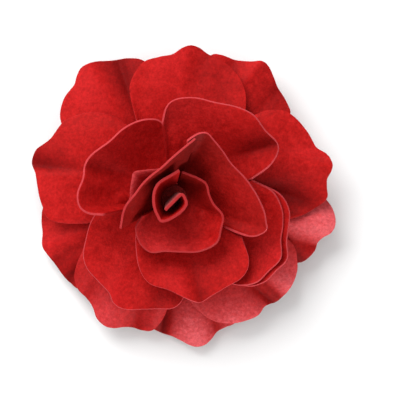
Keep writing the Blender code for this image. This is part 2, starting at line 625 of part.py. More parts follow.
def make_base(group, cutters):
    """Leather disc under the petals, felt cover under the arm, and the core the petals surround."""
    disc = [(0, DISC_TOP), (DISC_RADIUS, DISC_TOP), (DISC_RADIUS, DISC_BOTTOM), (0, DISC_BOTTOM)]
    base = turned("base_disc", disc, group, "leather_backing")
    felt_top = DISC_BOTTOM - GAP
    felt = [(0, felt_top), (FELT_RADIUS, felt_top), (FELT_RADIUS, FELT_BOTTOM), (0, FELT_BOTTOM)]
    cover = turned("felt_cover", felt, group, "felt_red")
    channel = box("arm_channel", (-20, -ARM_WIDTH / 2 - GAP, FELT_BOTTOM + FELT),
                  (20, ARM_WIDTH / 2 + GAP, felt_top + 1), cutters)
    notch = box("hinge_notch", (EAR_X[0] - 1.2, -ARM_WIDTH / 2 - 1.2, 0),
                (20, ARM_WIDTH / 2 + 1.2, 10), cutters)
    for other in (channel, notch):
        join_or_cut(cover, helper(other), "DIFFERENCE")
    foot = DISC_TOP + GAP
    core = [(0, CORE_TOP), (CORE_HEAD_RADIUS - 0.3, CORE_TOP), (CORE_HEAD_RADIUS, CORE_TOP - 0.3),
            (CORE_HEAD_RADIUS, CORE_TOP - 0.8), *CORE_STEPS, (CORE_STEPS[-1][0], foot), (0, foot)]
    return base, cover, turned("bud_core", core, group, "leather_backing", 28)


def main():
    clear_scene()
    group = collection("flower_hair_clip")
    cutters = collection("cutters")
    flower = empty("flower", group)
    jaw_hinge = empty("jaw_hinge", group, *PIVOT)
    for piece in (*make_base(group, cutters), make_upper_arm(group, cutters), make_pin(group),
                  make_spring(group), *make_petals(group), make_roll(group)):
        carry(piece, flower)
    carry(make_lower_jaw(group, cutters), jaw_hinge)


main()
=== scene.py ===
"""The looks of a flower hair clip: a hand-made leather rose glued to a sprung metal clip.

The petals use the same table and formulas as the CAD part, at a finer resolution. Dimensions are
in millimetres and azimuths in degrees, anticlockwise from +X seen from above.
"""

import math
from typing import NamedTuple

import bmesh
import bpy
import numpy as np
from mathutils import Matrix, Vector, noise
from mathutils.bvhtree import BVHTree

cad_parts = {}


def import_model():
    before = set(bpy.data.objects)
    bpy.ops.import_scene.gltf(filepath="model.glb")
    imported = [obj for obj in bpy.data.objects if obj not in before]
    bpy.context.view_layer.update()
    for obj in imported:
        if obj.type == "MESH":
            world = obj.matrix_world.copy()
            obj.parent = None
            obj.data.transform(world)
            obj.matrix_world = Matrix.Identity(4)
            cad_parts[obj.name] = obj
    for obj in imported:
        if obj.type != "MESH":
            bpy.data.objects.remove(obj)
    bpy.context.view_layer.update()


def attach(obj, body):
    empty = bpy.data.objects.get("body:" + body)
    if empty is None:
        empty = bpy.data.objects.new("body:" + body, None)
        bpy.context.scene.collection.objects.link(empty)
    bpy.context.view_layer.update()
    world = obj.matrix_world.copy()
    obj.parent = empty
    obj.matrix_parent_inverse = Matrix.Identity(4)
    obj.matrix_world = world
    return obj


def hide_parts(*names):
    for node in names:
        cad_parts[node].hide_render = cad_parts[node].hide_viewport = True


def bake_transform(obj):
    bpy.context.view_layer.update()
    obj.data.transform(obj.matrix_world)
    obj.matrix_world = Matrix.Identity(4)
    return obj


MM = 0.001

# Leather flower
LEATHER = 0.75  # thickness of a petal
LAY = 1.28  # distance kept between the middles of two petals that lie on each other
ACROSS, ALONG = 96, 48  # cells of a petal's sheet
EASE = (0.07, 0.12)  # how far a petal's rise over another is spread, as shares of its two ways
EDGE_ROUND = 0.16
RUFFLE = 0.9  # height of a large petal's soft undulations at its rim
CREST = 0.35  # how round a fold's crest is, as a share of its widths


class Fold(NamedTuple):
    """A crease in the leather between two points in plan, each (azimuth, radius)."""

    inner: tuple
    outer: tuple
    ridge: float = 0.0  # height of its crest, negative for a valley
    step: float = 0.0  # how much higher its anticlockwise side is
    widths: tuple = (4.0, 4.0)  # of its clockwise and its anticlockwise side
    fades: bool = False  # whether it fades out at its outer end, or goes on over the rim


class Petal(NamedTuple):
    """One leather petal. Its rim runs anticlockwise through the stations (azimuth, radius)."""

    name: str
    heights: tuple  # of the rim, at its first station, its middle and its last
    angles: tuple  # slope of the sheet in degrees, where it leaves the root and at the rim
    root: tuple  # radius and height of the edge that is glued down
    stations: tuple
    folds: tuple = ()
    sheen_shade_levels: tuple = (0.0,)  # painted pale sheen from first to last station, or painted shade where negative
    last_angles: tuple = ()  # the slopes at its last station, where they differ
    raw: float = 1.0  # how pale its cut rim is: dyed colour worn off, plus a painted highlight; lower on the bud's petals, which lie in shade


PETALS = (
    Petal("outer_petal_1", (12, 10, 12), (18, -16), (13, 9.2),
          ((92, 32), (97, 41), (101.3, 46.6), (107, 48.8), (113.5, 50), (119.5, 52.2), (124.2, 52.8),
           (127.5, 51.4), (130.3, 49.7), (136.5, 48.8), (142.2, 46.6), (146, 43.5), (150, 38), (153, 32)),
          (Fold((124, 18), (122, 52), 0.8, 1.5, (3.5, 6)),
           Fold((116, 20), (111.5, 42), -1.3, 0, (1.8, 1.8)), Fold((140, 28), (136, 49), -1.0, 0, (3, 4)))),
    Petal("outer_petal_2", (13, 12, 12), (18, -12), (13, 9.2),
          ((26, 33), (31, 43), (36.1, 48.1), (38.5, 49.1), (42.6, 50), (46.9, 50.8), (50.7, 52.6),
           (54.1, 54.2), (57, 54.5), (60.2, 52.5), (65.4, 50.6), (71.4, 50.4), (75.3, 49), (82, 42),
           (88, 32)),
          (Fold((64, 30), (57, 54), 1.4, 0.6, (2, 4)), Fold((70, 30), (66, 51), -1.4, 0, (3, 3)),
           Fold((46, 30), (46, 51), -1.2, 0, (3, 3)))),
    Petal("outer_petal_3", (8, 9, 10), (22, -24), (13, 9.2),
          ((-36, 31), (-31, 42), (-26.7, 46.1), (-24.1, 48.2), (-19.7, 49.8), (-16.2, 49.9), (-13.7, 51.2),
           (-11.6, 53.3), (-9.1, 54.2), (-6.4, 54), (-3.4, 52.9), (-0.7, 51.2), (5, 47), (12, 36)),
          (Fold((-17, 26), (-7.5, 54), 3.4, 0, (3.2, 2.4)), Fold((-14, 32), (-26, 48), -2.8, 0, (2, 2.6)),
           Fold((-20, 34), (-18, 50), -1.0, 0, (2, 2))), (0.66,)),
    Petal("outer_petal_4", (5, 3.4, 5), (16, -30), (13, 9.2),
          ((-115, 32), (-106, 40), (-98.4, 42.9), (-93.5, 44.1), (-89.8, 44.9), (-86.2, 46.4), (-83.2, 48),
           (-80.4, 49), (-77.4, 48.9), (-74.4, 47.6), (-71.4, 45.9), (-67.3, 45.4), (-62.5, 45.3),
           (-57, 41), (-50, 31)),
          (Fold((-92, 26), (-95, 44), -2.6, 0, (2.2, 2.2)), Fold((-84, 28), (-80, 49), 1.6, 0, (4, 4)),
           Fold((-70, 30), (-71, 46), -1.4, 0, (2.5, 2.5))), (0.75,)),
    Petal("outer_petal_5", (5, 5, 9), (18, -24), (13, 9.2),
          ((-190, 31), (-182, 39), (-176.9, 42.4), (-171.1, 43.5), (-165.5, 44), (-160.6, 45.3),
           (-156.5, 44.8), (-151.3, 43.9), (-144.9, 43.6), (-140.3, 43.1), (-136.4, 42.3), (-133, 38),
           (-131, 30)),
          (Fold((-162, 22), (-160, 45), 1.8, 0, (5, 2.5)), Fold((-155, 24), (-153, 44), -1.8, 0, (2.2, 4)),
           Fold((-149, 26), (-142, 43), -2.4, 0, (2.2, 2.2)),
           Fold((-170, 22), (-171, 43), -0.7, 0, (3, 3)))),
    Petal("second_petal_1", (19, 15, 18), (28, -8), (10.5, 10.4),
          ((46, 29), (50, 37), (54, 41.4), (57.5, 43.9), (61.8, 46.1), (66.7, 47.8), (71.7, 48.7),
           (76.2, 49.4), (79.9, 50.8), (83.2, 51.2), (86.3, 50), (89.8, 47.9), (95, 47.2), (101.3, 46.4),
           (105.9, 43.8), (110.1, 40.2), (112.3, 35.4), (114, 29)),
          (Fold((87, 24), (84, 51), 1.0, 0.8, (3, 6)), Fold((79, 28), (77, 49), -0.8, 0, (3, 4)))),
    Petal("second_petal_2", (16, 13, 13), (26, -20), (10.5, 10.4),
          ((118, 24), (121.2, 28.7), (125.2, 33.3), (128.8, 36.3), (134.2, 39.9), (139.5, 42.2), (145, 44),
           (152.7, 44.6), (156.4, 46), (159.6, 47.6), (163.3, 47.9), (166.2, 47.3), (169.4, 45.6),
           (173.8, 44.5), (178.4, 43.6), (183.5, 42.4), (188.5, 41), (192, 36), (195, 29)),
          (Fold((157, 22), (166, 47.5), -2.0, 0, (4, 1.5)), Fold((162, 24), (169.5, 46), 1.0, 0, (1.5, 4)))),
    Petal("second_petal_3", (11, 16, 18), (28, -14), (10.5, 10.4),
          ((-14, 34), (-9.2, 38.8), (-6.2, 43.6), (-2.1, 48.3), (0.9, 51), (4.2, 51), (7.8, 51.4),
           (10.3, 53.1), (12.4, 54), (14.5, 53.8), (16.4, 53), (19.7, 50.5), (23, 50), (26.8, 49.7),
           (33.2, 48.7), (38.4, 47), (42.7, 43.3), (45.6, 38.8), (49, 33)),
          (Fold((30, 32), (16, 53), 1.2, 0, (1.2, 1.2)), Fold((24, 20), (-3, 52), -2.8, 0, (3, 3), True))),
    Petal("second_petal_4", (9, 8, 12), (24, -28), (10.5, 10.4),
          ((-84, 29), (-78, 35.5), (-73.5, 40), (-69, 43), (-62.5, 45.5), (-56.2, 46.9), (-52.7, 47.2),
           (-49.1, 46.4), (-45, 47.6), (-42.6, 48.1), (-36.9, 48.4), (-31.3, 47.6), (-26.7, 46), (-20, 42),
           (-16, 33)),
          (Fold((-49, 28), (-45.2, 48), -2.4, 0, (2, 1.3)),
           Fold((-41, 30), (-42, 48), -1.6, 0, (1.3, 1.6)), Fold((-36, 28), (-36, 48), 1.4, 0, (3, 3)),
           Fold((-62, 28), (-62, 45), 1.2, 0, (4, 4))), (0.5,)),
    Petal("second_petal_5", (8, 6, 7), (24, -30), (10.5, 10.4),
          ((-160, 25), (-154.5, 31), (-149.4, 34.4), (-145.9, 37.7), (-141.6, 40.9), (-136.4, 42.6),
           (-131.8, 42.7), (-128.1, 43.2), (-125.3, 44.3), (-122.2, 46.1), (-118.1, 46.9), (-114.5, 46.2),
           (-110.6, 44.5), (-106.9, 43.8), (-103, 43.9), (-98.4, 43.1), (-94, 38), (-90, 30)),
          (Fold((-125, 26), (-120, 47), 1.6, 0, (3, 3)), Fold((-109, 26), (-106, 44), -0.9, 0, (3, 3)),
           Fold((-136, 30), (-131, 43), -1.2, 0, (2, 3))), (0.2,)),
    Petal("middle_petal_1", (18, 22, 23), (8, 26), (8.5, 13.5),
          ((-58, 26), (-50, 36.5), (-42, 40.4), (-34, 41.3), (-27, 42.4), (-20, 40), (-13, 39.2),
           (-5, 38.6), (3, 35.5), (11, 29))),
    Petal("middle_petal_2", (18, 21, 25), (4, 30), (8.5, 16),
          ((-62, 25), (-54, 34), (-45, 38.5), (-36, 39.4), (-28, 40.4), (-20, 38), (-12, 37.2), (-4, 36),
           (5, 33), (14, 27)),
          (Fold((-24, 20), (-28, 40), 1.6, 0, (3, 3)),)),
    Petal("middle_petal_3", (20, 19, 18), (14, 12), (8.5, 13),
          ((-182, 19), (-174, 23.5), (-165, 27.5), (-155.1, 31.2), (-148, 34.3), (-141, 35.8),
           (-130.5, 36.1), (-124.1, 36.8), (-119.5, 38.9), (-113.5, 39.1), (-105.3, 37.2), (-97, 36),
           (-90, 35.6), (-84.8, 33.5), (-79, 28), (-75, 23)),
          (Fold((-129, 16), (-119, 39), 1.0, 0, (5, 4)), Fold((-101, 18), (-98, 36), -0.9, 0, (4, 4)))),
    Petal("middle_petal_4", (22, 30, 31), (14, 46), (8.5, 14),
          ((85, 19), (91, 22.5), (97, 25.4), (102, 27), (112, 28), (124, 28.2), (137, 28), (150, 30),
           (158, 30.6), (166, 29.8), (176, 30.8), (184, 30.2), (189, 27.5), (192, 23)),
          (Fold((139, 9), (158.5, 30.5), -1.5, 0, (3.5, 2.0)), Fold((130, 14), (134, 28), 1.2, 0, (5, 5)))),
    Petal("middle_petal_5", (29, 33, 28), (12, 32), (8.5, 16.5),
          ((15, 27), (20, 34.5), (27, 39), (37, 38), (46, 38.4), (55, 37), (66, 34.8), (77, 34.2),
           (87, 33), (93, 30.6), (97, 25.5)),
          (Fold((56, 14), (28, 39), -2.3, 0, (2.0, 5)),), (-0.2, 0.0, 0.12)),
    Petal("middle_petal_6", (26, 24, 25), (8, 4), (8, 17.5),
          ((-142, 15), (-126, 20), (-115, 25), (-105, 28.3), (-92, 29.5), (-82, 32.5), (-75, 34.8),
           (-68, 34), (-58, 33.6), (-47, 34.2), (-38, 32), (-28, 26)),
          (Fold((-66, 14), (-74, 35), -1.8, 0, (2.4, 2.4)), Fold((-86, 14), (-82, 33), 1.2, 0, (3, 3)))),
    Petal("inner_petal_1", (26, 36, 41), (8, 36), (6.4, 19),
          ((-27, 20), (-26, 25), (-24.3, 28.8), (-20.8, 31.2), (-17, 32.4), (-13, 31.5), (-7, 30.3),
           (2.5, 27.9), (10.4, 26.1), (17.8, 24.7), (31.4, 22.7), (44.2, 23), (55, 23.8), (61.9, 24.6),
           (67.5, 23.5), (72, 21.5), (75, 20)), (), (-0.45, -0.3, -0.95)),
    Petal("inner_petal_2", (33, 35.5, 32), (60, -4), (6.4, 17),
          ((100, 11.0), (116, 11.3), (130, 12.9), (143, 15.3), (153, 14.7), (166, 14.0), (178, 13.8),
           (190, 15.4)), (), (0.7,)),
    Petal("inner_petal_3", (42.5, 40, 31), (52, 50), (6, 20),
          ((69, 21.4), (78, 17), (90, 13.6), (108, 11), (128, 10.4), (150, 10.8), (170, 12), (190, 15.6),
           (209, 19.2)), (), (-0.95, -0.6), (30, 66), 0.6),
    Petal("bud_petal", (29, 31, 33.5), (14, 28), (4.7, 22),
          ((-152, 11), (-142, 15), (-126, 17.6), (-112, 18.4), (-98, 16.9), (-80, 17.2), (-62, 19),
           (-44, 20.2), (-30, 18.6), (-17, 17.4), (-6, 13.8), (8, 12.3), (25, 12.4), (40, 11.1),
           (54, 10.1), (66, 9.8), (70.5, 9.6)), (), (0.15, 0.2, -0.1, -0.9), (0, 78), 0.45),
)

# Core, a strip of leather wound up tightly
CORE_HEAD_RADIUS = 5.2  # of the wider head that the bud's roll stands on
CORE_TOP = 27.2
# Radius and height down the core, which widens in steps so that every layer's roots are glued to it
CORE_STEPS = (
    (4.2, 25.6), (4.2, 21.6), (5.5, 21.1), (5.5, 16.9), (7.5, 16.2), (7.5, 12.6), (9.9, 12.0), (9.9, 10.0),
    (12.4, 9.4),
)
CORE_GROOVE = 0.22  # depth of the groove where one turn meets the next

# The bud's innermost petal is rolled round itself. Its plan is that of its rim, from the inner end
ROLL_HEIGHTS = (27.5, 40.0)
ROLL_TAPER = 0.62  # size of the roll's plan at its foot, as a share of the rim's
ROLL_LEATHER = 0.9
ROLL_LEAN = (-0.5, 0.9)  # how far the foot of the folded inner end is set aside
ROLL_FOLD = (0.22, 0.42)  # where along its length that end passes into the roll
ROLL_PLAN = (
    (-2.1, -3.3), (0.2, -1.0), (2.4, 1.2), (3.4, 1.8), (4.2, 0.8), (4.8, -1.1), (3.9, -2.9), (1.6, -4.9),
    (-1.3, -6.5), (-3.5, -6.8), (-4.5, -5.2), (-5.4, -3.2), (-5.9, -0.7), (-5.8, 2.1), (-5.0, 4.4),
    (-3.5, 6.1), (-0.3, 8.0), (2.5, 9.6),
)

# Backing and clip, from the floor up
STEEL = 0.6
STEEL_ROUND = 0.12
STEEL_BEND = 0.8  # radius of a bend in the sheet
JAW_WIDTH = 7.2
ARM_WIDTH = 9.0
ARM_BOTTOM = 5.6
BEAK_X = -20.0
EAR_X = (7.6, 16.4)
EAR_RADIUS = 2.3  # of an ear's round lower end
EAR_SHOULDER = (2.08, 0.97)  # its half width and its depth below the pin, where the round end begins
PIVOT = (12.0, 3.2)  # x and z of the hinge pin
PIN_RADIUS = 0.9
SPRING_WIRE = 0.35  # radius
NOSE_ANGLE = 24.0
TAIL_ANGLE = 22.0
INNER_EAR_RADIUS = 2.1
FIRST_TOOTH_X = -3.0
TOOTH_PITCH = 2.0
TOOTH_HEIGHT = 1.1
GAP = 0.3
FELT_RADIUS = 15.0
FELT_BOTTOM, FELT_TOP = 4.2, 6.2
DISC_RADIUS = 16.5
DISC_BOTTOM, DISC_TOP = 6.5, 8.0

# Camera and lights, in metres and watts
VIEW_CENTRE = (0.0092, 0.0)
VIEW_WIDTH = 0.1316  # at VIEW_LEVEL
VIEW_LEVEL = 0.012
CAMERA_HEIGHT = 2.5
SENSOR = 36.0
LIGHT_TARGET = (0, 0, 0.02)
LIGHTS = (  # name, place, diameter and power
    ("key", (-0.48, 0.90, 1.0), 1.1, 22.0),
    ("left", (-1.3, 0.1, 0.9), 1.2, 5.0),
    ("front", (0.5, -1.15, 0.04), 0.7, 22.0),
)


# ------------------------------------------------------------------ node helpers


class Shader:
    """A node material with short calls for the nodes it needs."""

    def __init__(self, name, roughness=0.5, **constants):
        self.material = bpy.data.materials.new(name)
        self.material.use_nodes = True
        self.tree = self.material.node_tree
        self.surface = self.tree.nodes["Principled BSDF"]
        self.surface.inputs["Roughness"].default_value = roughness
        for socket, value in constants.items():
            self.surface.inputs[socket.replace("_", " ")].default_value = value
        self.place = self.node("ShaderNodeTexCoord").outputs["Object"]

    def node(self, kind, **settings):
        made = self.tree.nodes.new(kind)
        for key, value in settings.items():
            setattr(made, key, value)
        return made

    def link(self, source, target):
        self.tree.links.new(source, target)

    def noise(self, scale, detail=3.0, roughness=0.55, stretch=(1, 1, 1)):
        """Noise of a given scale per metre, stretched along the object's own axes."""
        mapping = self.node("ShaderNodeMapping")
        mapping.inputs["Scale"].default_value = stretch
        self.link(self.place, mapping.inputs["Vector"])
        made = self.node("ShaderNodeTexNoise")
        made.inputs["Scale"].default_value = scale
        made.inputs["Detail"].default_value = detail
        made.inputs["Roughness"].default_value = roughness
        self.link(mapping.outputs["Vector"], made.inputs["Vector"])
        return made.outputs["Fac"]

    def cells(self, scale):
        made = self.node("ShaderNodeTexVoronoi")
        made.inputs["Scale"].default_value = scale
        self.link(self.place, made.inputs["Vector"])
        return made.outputs["Distance"]

    def ramp(self, source, *stops):
        """A colour ramp through (position, colour) stops."""
        made = self.node("ShaderNodeValToRGB")
        elements = made.color_ramp.elements
        while len(elements) < len(stops):
            elements.new(0.5)
        for element, (position, colour) in zip(elements, stops):
            element.position = position
            element.color = (*colour, 1.0)
        self.link(source, made.inputs["Fac"])
        return made.outputs["Color"]

    def spread(self, source, low, high):
        """The source's middle range spread between two values."""
        made = self.node("ShaderNodeMapRange")
        limits = {"From Min": 0.3, "From Max": 0.7, "To Min": low, "To Max": high}
        for socket, value in limits.items():
            made.inputs[socket].default_value = value
        self.link(source, made.inputs["Value"])
        return made.outputs["Result"]

    def mix(self, share, first, second, blend="MIX"):
        made = self.node("ShaderNodeMix", data_type="RGBA", blend_type=blend)
        if isinstance(share, float):
            made.inputs[0].default_value = share
        else:
            self.link(share, made.inputs[0])
        for socket, value in ((made.inputs[6], first), (made.inputs[7], second)):
            if isinstance(value, tuple):
                socket.default_value = (*value, 1.0)
            else:
                self.link(value, socket)
        return made.outputs[2]

    def attribute(self, name):
        return self.node("ShaderNodeAttribute", attribute_name=name).outputs["Fac"]

    def times(self, source, factor):
        """The source times a number or another source, kept between 0 and 1."""
        made = self.node("ShaderNodeMath", operation="MULTIPLY", use_clamp=True)
        self.link(source, made.inputs[0])
        if isinstance(factor, float):
            made.inputs[1].default_value = factor
        else:
            self.link(factor, made.inputs[1])
        return made.outputs[0]

    def colour(self, source):
        self.link(source, self.surface.inputs["Base Color"])

    def roughness(self, source):
        self.link(source, self.surface.inputs["Roughness"])

    def bump(self, *layers):
        """Bumps laid over each other, each (height source, depth in metres, strength)."""
        normal = None
        for source, depth, strength in layers:
            made = self.node("ShaderNodeBump")
            made.inputs["Distance"].default_value = depth
            made.inputs["Strength"].default_value = strength
            self.link(source, made.inputs["Height"])
            if normal:
                self.link(normal, made.inputs["Normal"])
            normal = made.outputs["Normal"]
        self.link(normal, self.surface.inputs["Normal"])


# ------------------------------------------------------------------ materials


def grain_leather():
    """The dyed grain side of the petals, with a painted highlight on the crests, painted shade in the
    hollows and on shaded petals, and a painted pale sheen where they droop.
    """
    s = Shader("petal_grain", 0.55, Specular_IOR_Level=0.06)
    mottle = s.noise(380, 6, 0.65)
    base = s.ramp(mottle, (0.3, (0.33, 0.0045, 0.0040)), (0.5, (0.40, 0.0070, 0.0065)),
                  (0.7, (0.47, 0.0110, 0.0105)))
    # Painted shading from the folds: a painted highlight on the crests, painted shade in the hollows.
    painted_fold_shading = s.attribute("painted_fold_shading")
    painted_crest_light = s.mix(s.times(painted_fold_shading, 1.0), base, (0.50, 0.012, 0.013))
    painted_shading = s.mix(s.times(painted_fold_shading, -1.0), painted_crest_light, (0.18, 0.0020, 0.0020))
    # Painted shade where a petal's sheen-and-shade level is negative, for petals lying in the shadow of
    # others.
    painted_shading = s.mix(s.times(s.attribute("painted_sheen_and_shade"), -1.0), painted_shading, (0.12, 0.003, 0.002))
    # Painted pale sheen: a reflection of the bright surround on drooping petals, gathered on rims and
    # crests.
    painted_sheen_mask = s.times(s.attribute("painted_sheen_and_shade"), s.spread(s.noise(700, 5, 0.7), 0.5, 1.4))
    with_painted_sheen = s.mix(painted_sheen_mask, painted_shading, (0.62, 0.085, 0.095))
    specks = s.ramp(s.noise(1000, 4, 0.75), (0.36, (0.74, 0.70, 0.70)), (0.66, (1.10, 1.16, 1.16)))
    s.colour(s.mix(1.0, with_painted_sheen, specks, "MULTIPLY"))
    s.roughness(s.spread(mottle, 0.50, 0.66))
    s.bump((s.noise(330, 4), 0.0006, 0.3), (s.cells(1500), 0.00012, 0.35), (s.noise(3500, 2), 0.00006, 0.4))
    return s.material


def flesh_leather():
    """The soft nap on the back of the petals."""
    s = Shader("petal_flesh", 0.85, Sheen_Weight=0.12, Sheen_Roughness=0.5)
    s.surface.inputs["Sheen Tint"].default_value = (1.0, 0.4, 0.4, 1.0)
    nap = s.noise(420, 6, 0.7)
    napped = s.ramp(nap, (0.3, (0.30, 0.012, 0.014)), (0.7, (0.46, 0.035, 0.036)))
    # Painted shade in the folds' hollows.
    s.colour(s.mix(s.times(s.attribute("painted_fold_shading"), -1.0), napped, (0.08, 0.002, 0.002)))
    s.bump((nap, 0.0003, 0.5), (s.noise(4000, 3), 0.0001, 0.6))
    return s.material


def edge_leather():
    """The cut edge, where the dyeing takes less and the fibres show, and a painted highlight lies along the
    rim.
    """
    s = Shader("petal_edge", 0.6, Specular_IOR_Level=0.1)
    fibres = s.noise(900, 4, 0.7)
    raw = s.ramp(fibres, (0.3, (0.36, 0.024, 0.028)), (0.7, (0.47, 0.040, 0.046)))
    s.colour(s.mix(s.attribute("raw"), (0.26, 0.004, 0.004), raw))
    s.bump((fibres, 0.0001, 0.5))
    return s.material


def backing_leather():
    s = Shader("backing_suede", 0.85, Sheen_Weight=0.15, Sheen_Roughness=0.5)
    nap = s.noise(500, 6, 0.7)
    s.colour(s.ramp(nap, (0.3, (0.20, 0.008, 0.010)), (0.7, (0.34, 0.020, 0.022))))
    s.bump((nap, 0.0003, 0.5))
    return s.material


def core_leather():
    """The strip that the bud is wrapped round, coloured dark: painted shade for the deep heart of the bud.
    """
    s = Shader("core_strip", 0.8, Specular_IOR_Level=0.1)
    layers = s.noise(900, 4, 0.6, (1, 1, 0.2))
    s.colour(s.ramp(layers, (0.3, (0.10, 0.004, 0.004)), (0.7, (0.22, 0.010, 0.009))))
    s.bump((layers, 0.0003, 0.7))
    return s.material


def felt():
    s = Shader("felt_fibres", 0.95, Sheen_Weight=0.15, Sheen_Roughness=0.6)
    fibres = s.noise(1300, 6, 0.8, (1, 3, 1))
    crossing = s.noise(1300, 6, 0.8, (3, 1, 1))
    both = s.mix(0.5, s.ramp(fibres, (0.3, (0.22, 0.005, 0.008)), (0.7, (0.42, 0.02, 0.025))),
                 s.ramp(crossing, (0.3, (0.24, 0.006, 0.008)), (0.7, (0.44, 0.02, 0.025))))
    s.colour(both)
    s.bump((fibres, 0.0003, 0.8), (crossing, 0.0003, 0.6))
    return s.material


def nickel_steel():
    s = Shader("nickel_plate", 0.25, Metallic=1.0)
    drawn = s.noise(700, 5, 0.6, (0.06, 1, 1))
    s.colour(s.ramp(drawn, (0.3, (0.62, 0.61, 0.59)), (0.7, (0.74, 0.73, 0.71))))
    s.roughness(s.spread(drawn, 0.2, 0.34))
    s.bump((drawn, 0.00002, 0.5))
    return s.material


def spring_steel():
    s = Shader("bright_wire", 0.3, Metallic=1.0)
    drawn = s.noise(900, 4)
    s.colour(s.ramp(drawn, (0.3, (0.42, 0.42, 0.43)), (0.7, (0.58, 0.58, 0.60))))
    s.roughness(s.spread(drawn, 0.25, 0.38))
    return s.material


# ------------------------------------------------------------------ objects


def new_object(name, bm, *finishes):
    mesh = bpy.data.meshes.new(name)
    bm.to_mesh(mesh)
    bm.free()
    for finish in finishes:
        mesh.materials.append(finish)
    obj = bpy.data.objects.new(name, mesh)
    bpy.context.scene.collection.objects.link(obj)
    return obj


def evaluated_mesh(obj):
    graph = bpy.context.evaluated_depsgraph_get()
    return bpy.data.meshes.new_from_object(obj.evaluated_get(graph))


def apply_modifiers(obj):
    mesh = evaluated_mesh(obj)
    obj.modifiers.clear()
    obj.data = mesh


def thicken(obj, thickness, rounding, back_material=0, edge_material=0):
    """Gives a sheet its thickness, a back and a rounded edge."""
    shell = obj.modifiers.new("thickness", "SOLIDIFY")
    shell.thickness = thickness * MM
    shell.offset = 0.0
    shell.material_offset = back_material
    shell.material_offset_rim = edge_material
    edge = obj.modifiers.new("worn_edge", "BEVEL")
    edge.width = rounding * MM
    edge.segments = 2
    edge.limit_method = "ANGLE"
    edge.angle_limit = math.radians(50)
    edge.material = edge_material
    apply_modifiers(obj)


def stand_in(obj, node, body):
    """obj is what shows of a node of the CAD model, and moves with its body."""
    obj.data.shade_smooth()
    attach(obj, body)
    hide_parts(node)


# ------------------------------------------------------------------ petals


def spline(points, count):
    """count points along a smooth curve through the given points, evenly spaced by length."""
    p = np.array(points, float)
    ends = np.vstack([2 * p[0] - p[1], p, 2 * p[-1] - p[-2]])
    fine = []
    for a, b, c, d in zip(ends, ends[1:], ends[2:], ends[3:]):
        for t in np.linspace(0, 1, 16, endpoint=False):
            fine.append(
                0.5 * (2 * b + (c - a) * t + (2 * a - 5 * b + 4 * c - d) * t**2
                       + (3 * b - a - 3 * c + d) * t**3)
            )
    fine = np.array([*fine, p[-1]])
    travel = np.concatenate([[0], np.cumsum(np.linalg.norm(np.diff(fine, axis=0), axis=1))])
    wanted = np.linspace(0, travel[-1], count)
    return np.column_stack([np.interp(wanted, travel, fine[:, k]) for k in range(p.shape[1])])


def on_plan(azimuth, radius):
    angle = math.radians(azimuth)
    return np.array([radius * math.cos(angle), radius * math.sin(angle)])


def rim_plan(petal, count):
    """Plan of a petal's rim, and the azimuth of each of its points."""
    polar = sorted(petal.stations)
    points = spline([on_plan(*station) for station in polar], count)
    azimuth = np.unwrap(np.arctan2(points[:, 1], points[:, 0]))
    middle = math.radians((polar[0][0] + polar[-1][0]) / 2)
    azimuth += 2 * math.pi * round((middle - azimuth.mean()) / (2 * math.pi))
    return points, azimuth


def petal_sheet(petal):
    """The middle of the leather as a grid of points, [across, along, xyz], before it is laid.

    With it comes its relief: how far its undulations and folds raise each point.
    """
    rim, azimuth = rim_plan(petal, ACROSS + 1)
    across = np.linspace(0, 1, ACROSS + 1)
    first, middle, last = petal.heights
    rim_height = first * (1 - across) * (1 - 2 * across) + 4 * middle * across * (1 - across)
    rim_height += last * across * (2 * across - 1)
    root = petal.root[0] * np.column_stack([np.cos(azimuth), np.sin(azimuth)])
    length = np.linalg.norm(rim - root, axis=1)
    both_ends = zip(petal.angles, petal.last_angles or petal.angles)
    angles = [np.interp(across, (0, 1), ends) for ends in both_ends]
    leave, arrive = (np.tan(np.radians(a)) * length for a in angles)
    rise = rim_height - petal.root[1]
    sheet = np.zeros((ACROSS + 1, ALONG + 1, 3))
    for j, v in enumerate(np.linspace(0, 1, ALONG + 1)):
        sheet[:, j, :2] = root + (rim - root) * v
        hermite = (3 * v**2 - 2 * v**3, v**3 - 2 * v**2 + v, v**3 - v**2)
        sheet[:, j, 2] = petal.root[1] + rise * hermite[0] + leave * hermite[1] + arrive * hermite[2]
    relief = ruffles(petal, azimuth)
    for fold in petal.folds:
        relief += fold_height(fold, sheet[:, :, :2])
    sheet[:, :, 2] += relief
    return sheet, relief


def ruffles(petal, azimuth):
    """Soft undulations that run outwards and grow towards the rim."""
    reach = max(radius for _, radius in petal.stations)
    seed = sum(petal.stations[0]) * 0.37
    relief = np.zeros((ACROSS + 1, ALONG + 1))
    for i, j in np.ndindex(relief.shape):
        v = j / ALONG
        waves = noise.noise(Vector((azimuth[i] * 4.2, v * reach / 24, seed)))
        relief[i, j] = RUFFLE * (reach / 50) ** 2 * v**1.5 * waves
    return relief


def fold_height(fold, plan):
    """How much a fold raises each point of the plan."""
    inner, outer = on_plan(*fold.inner), on_plan(*fold.outer)
    way = outer - inner
    length = np.linalg.norm(way)
    way = way / length
    along = np.clip((plan - inner) @ way / length, 0, 1)
    aside = (plan - inner) @ np.array([-way[1], way[0]])
    grown = np.sin(math.pi * along) if fold.fades else along**2 * (3 - 2 * along)
    share = aside / np.where(aside < 0, *fold.widths)
    crest = np.exp(CREST - np.sqrt(share**2 + CREST**2))
    return grown * (fold.ridge * crest + fold.step * np.tanh(share))


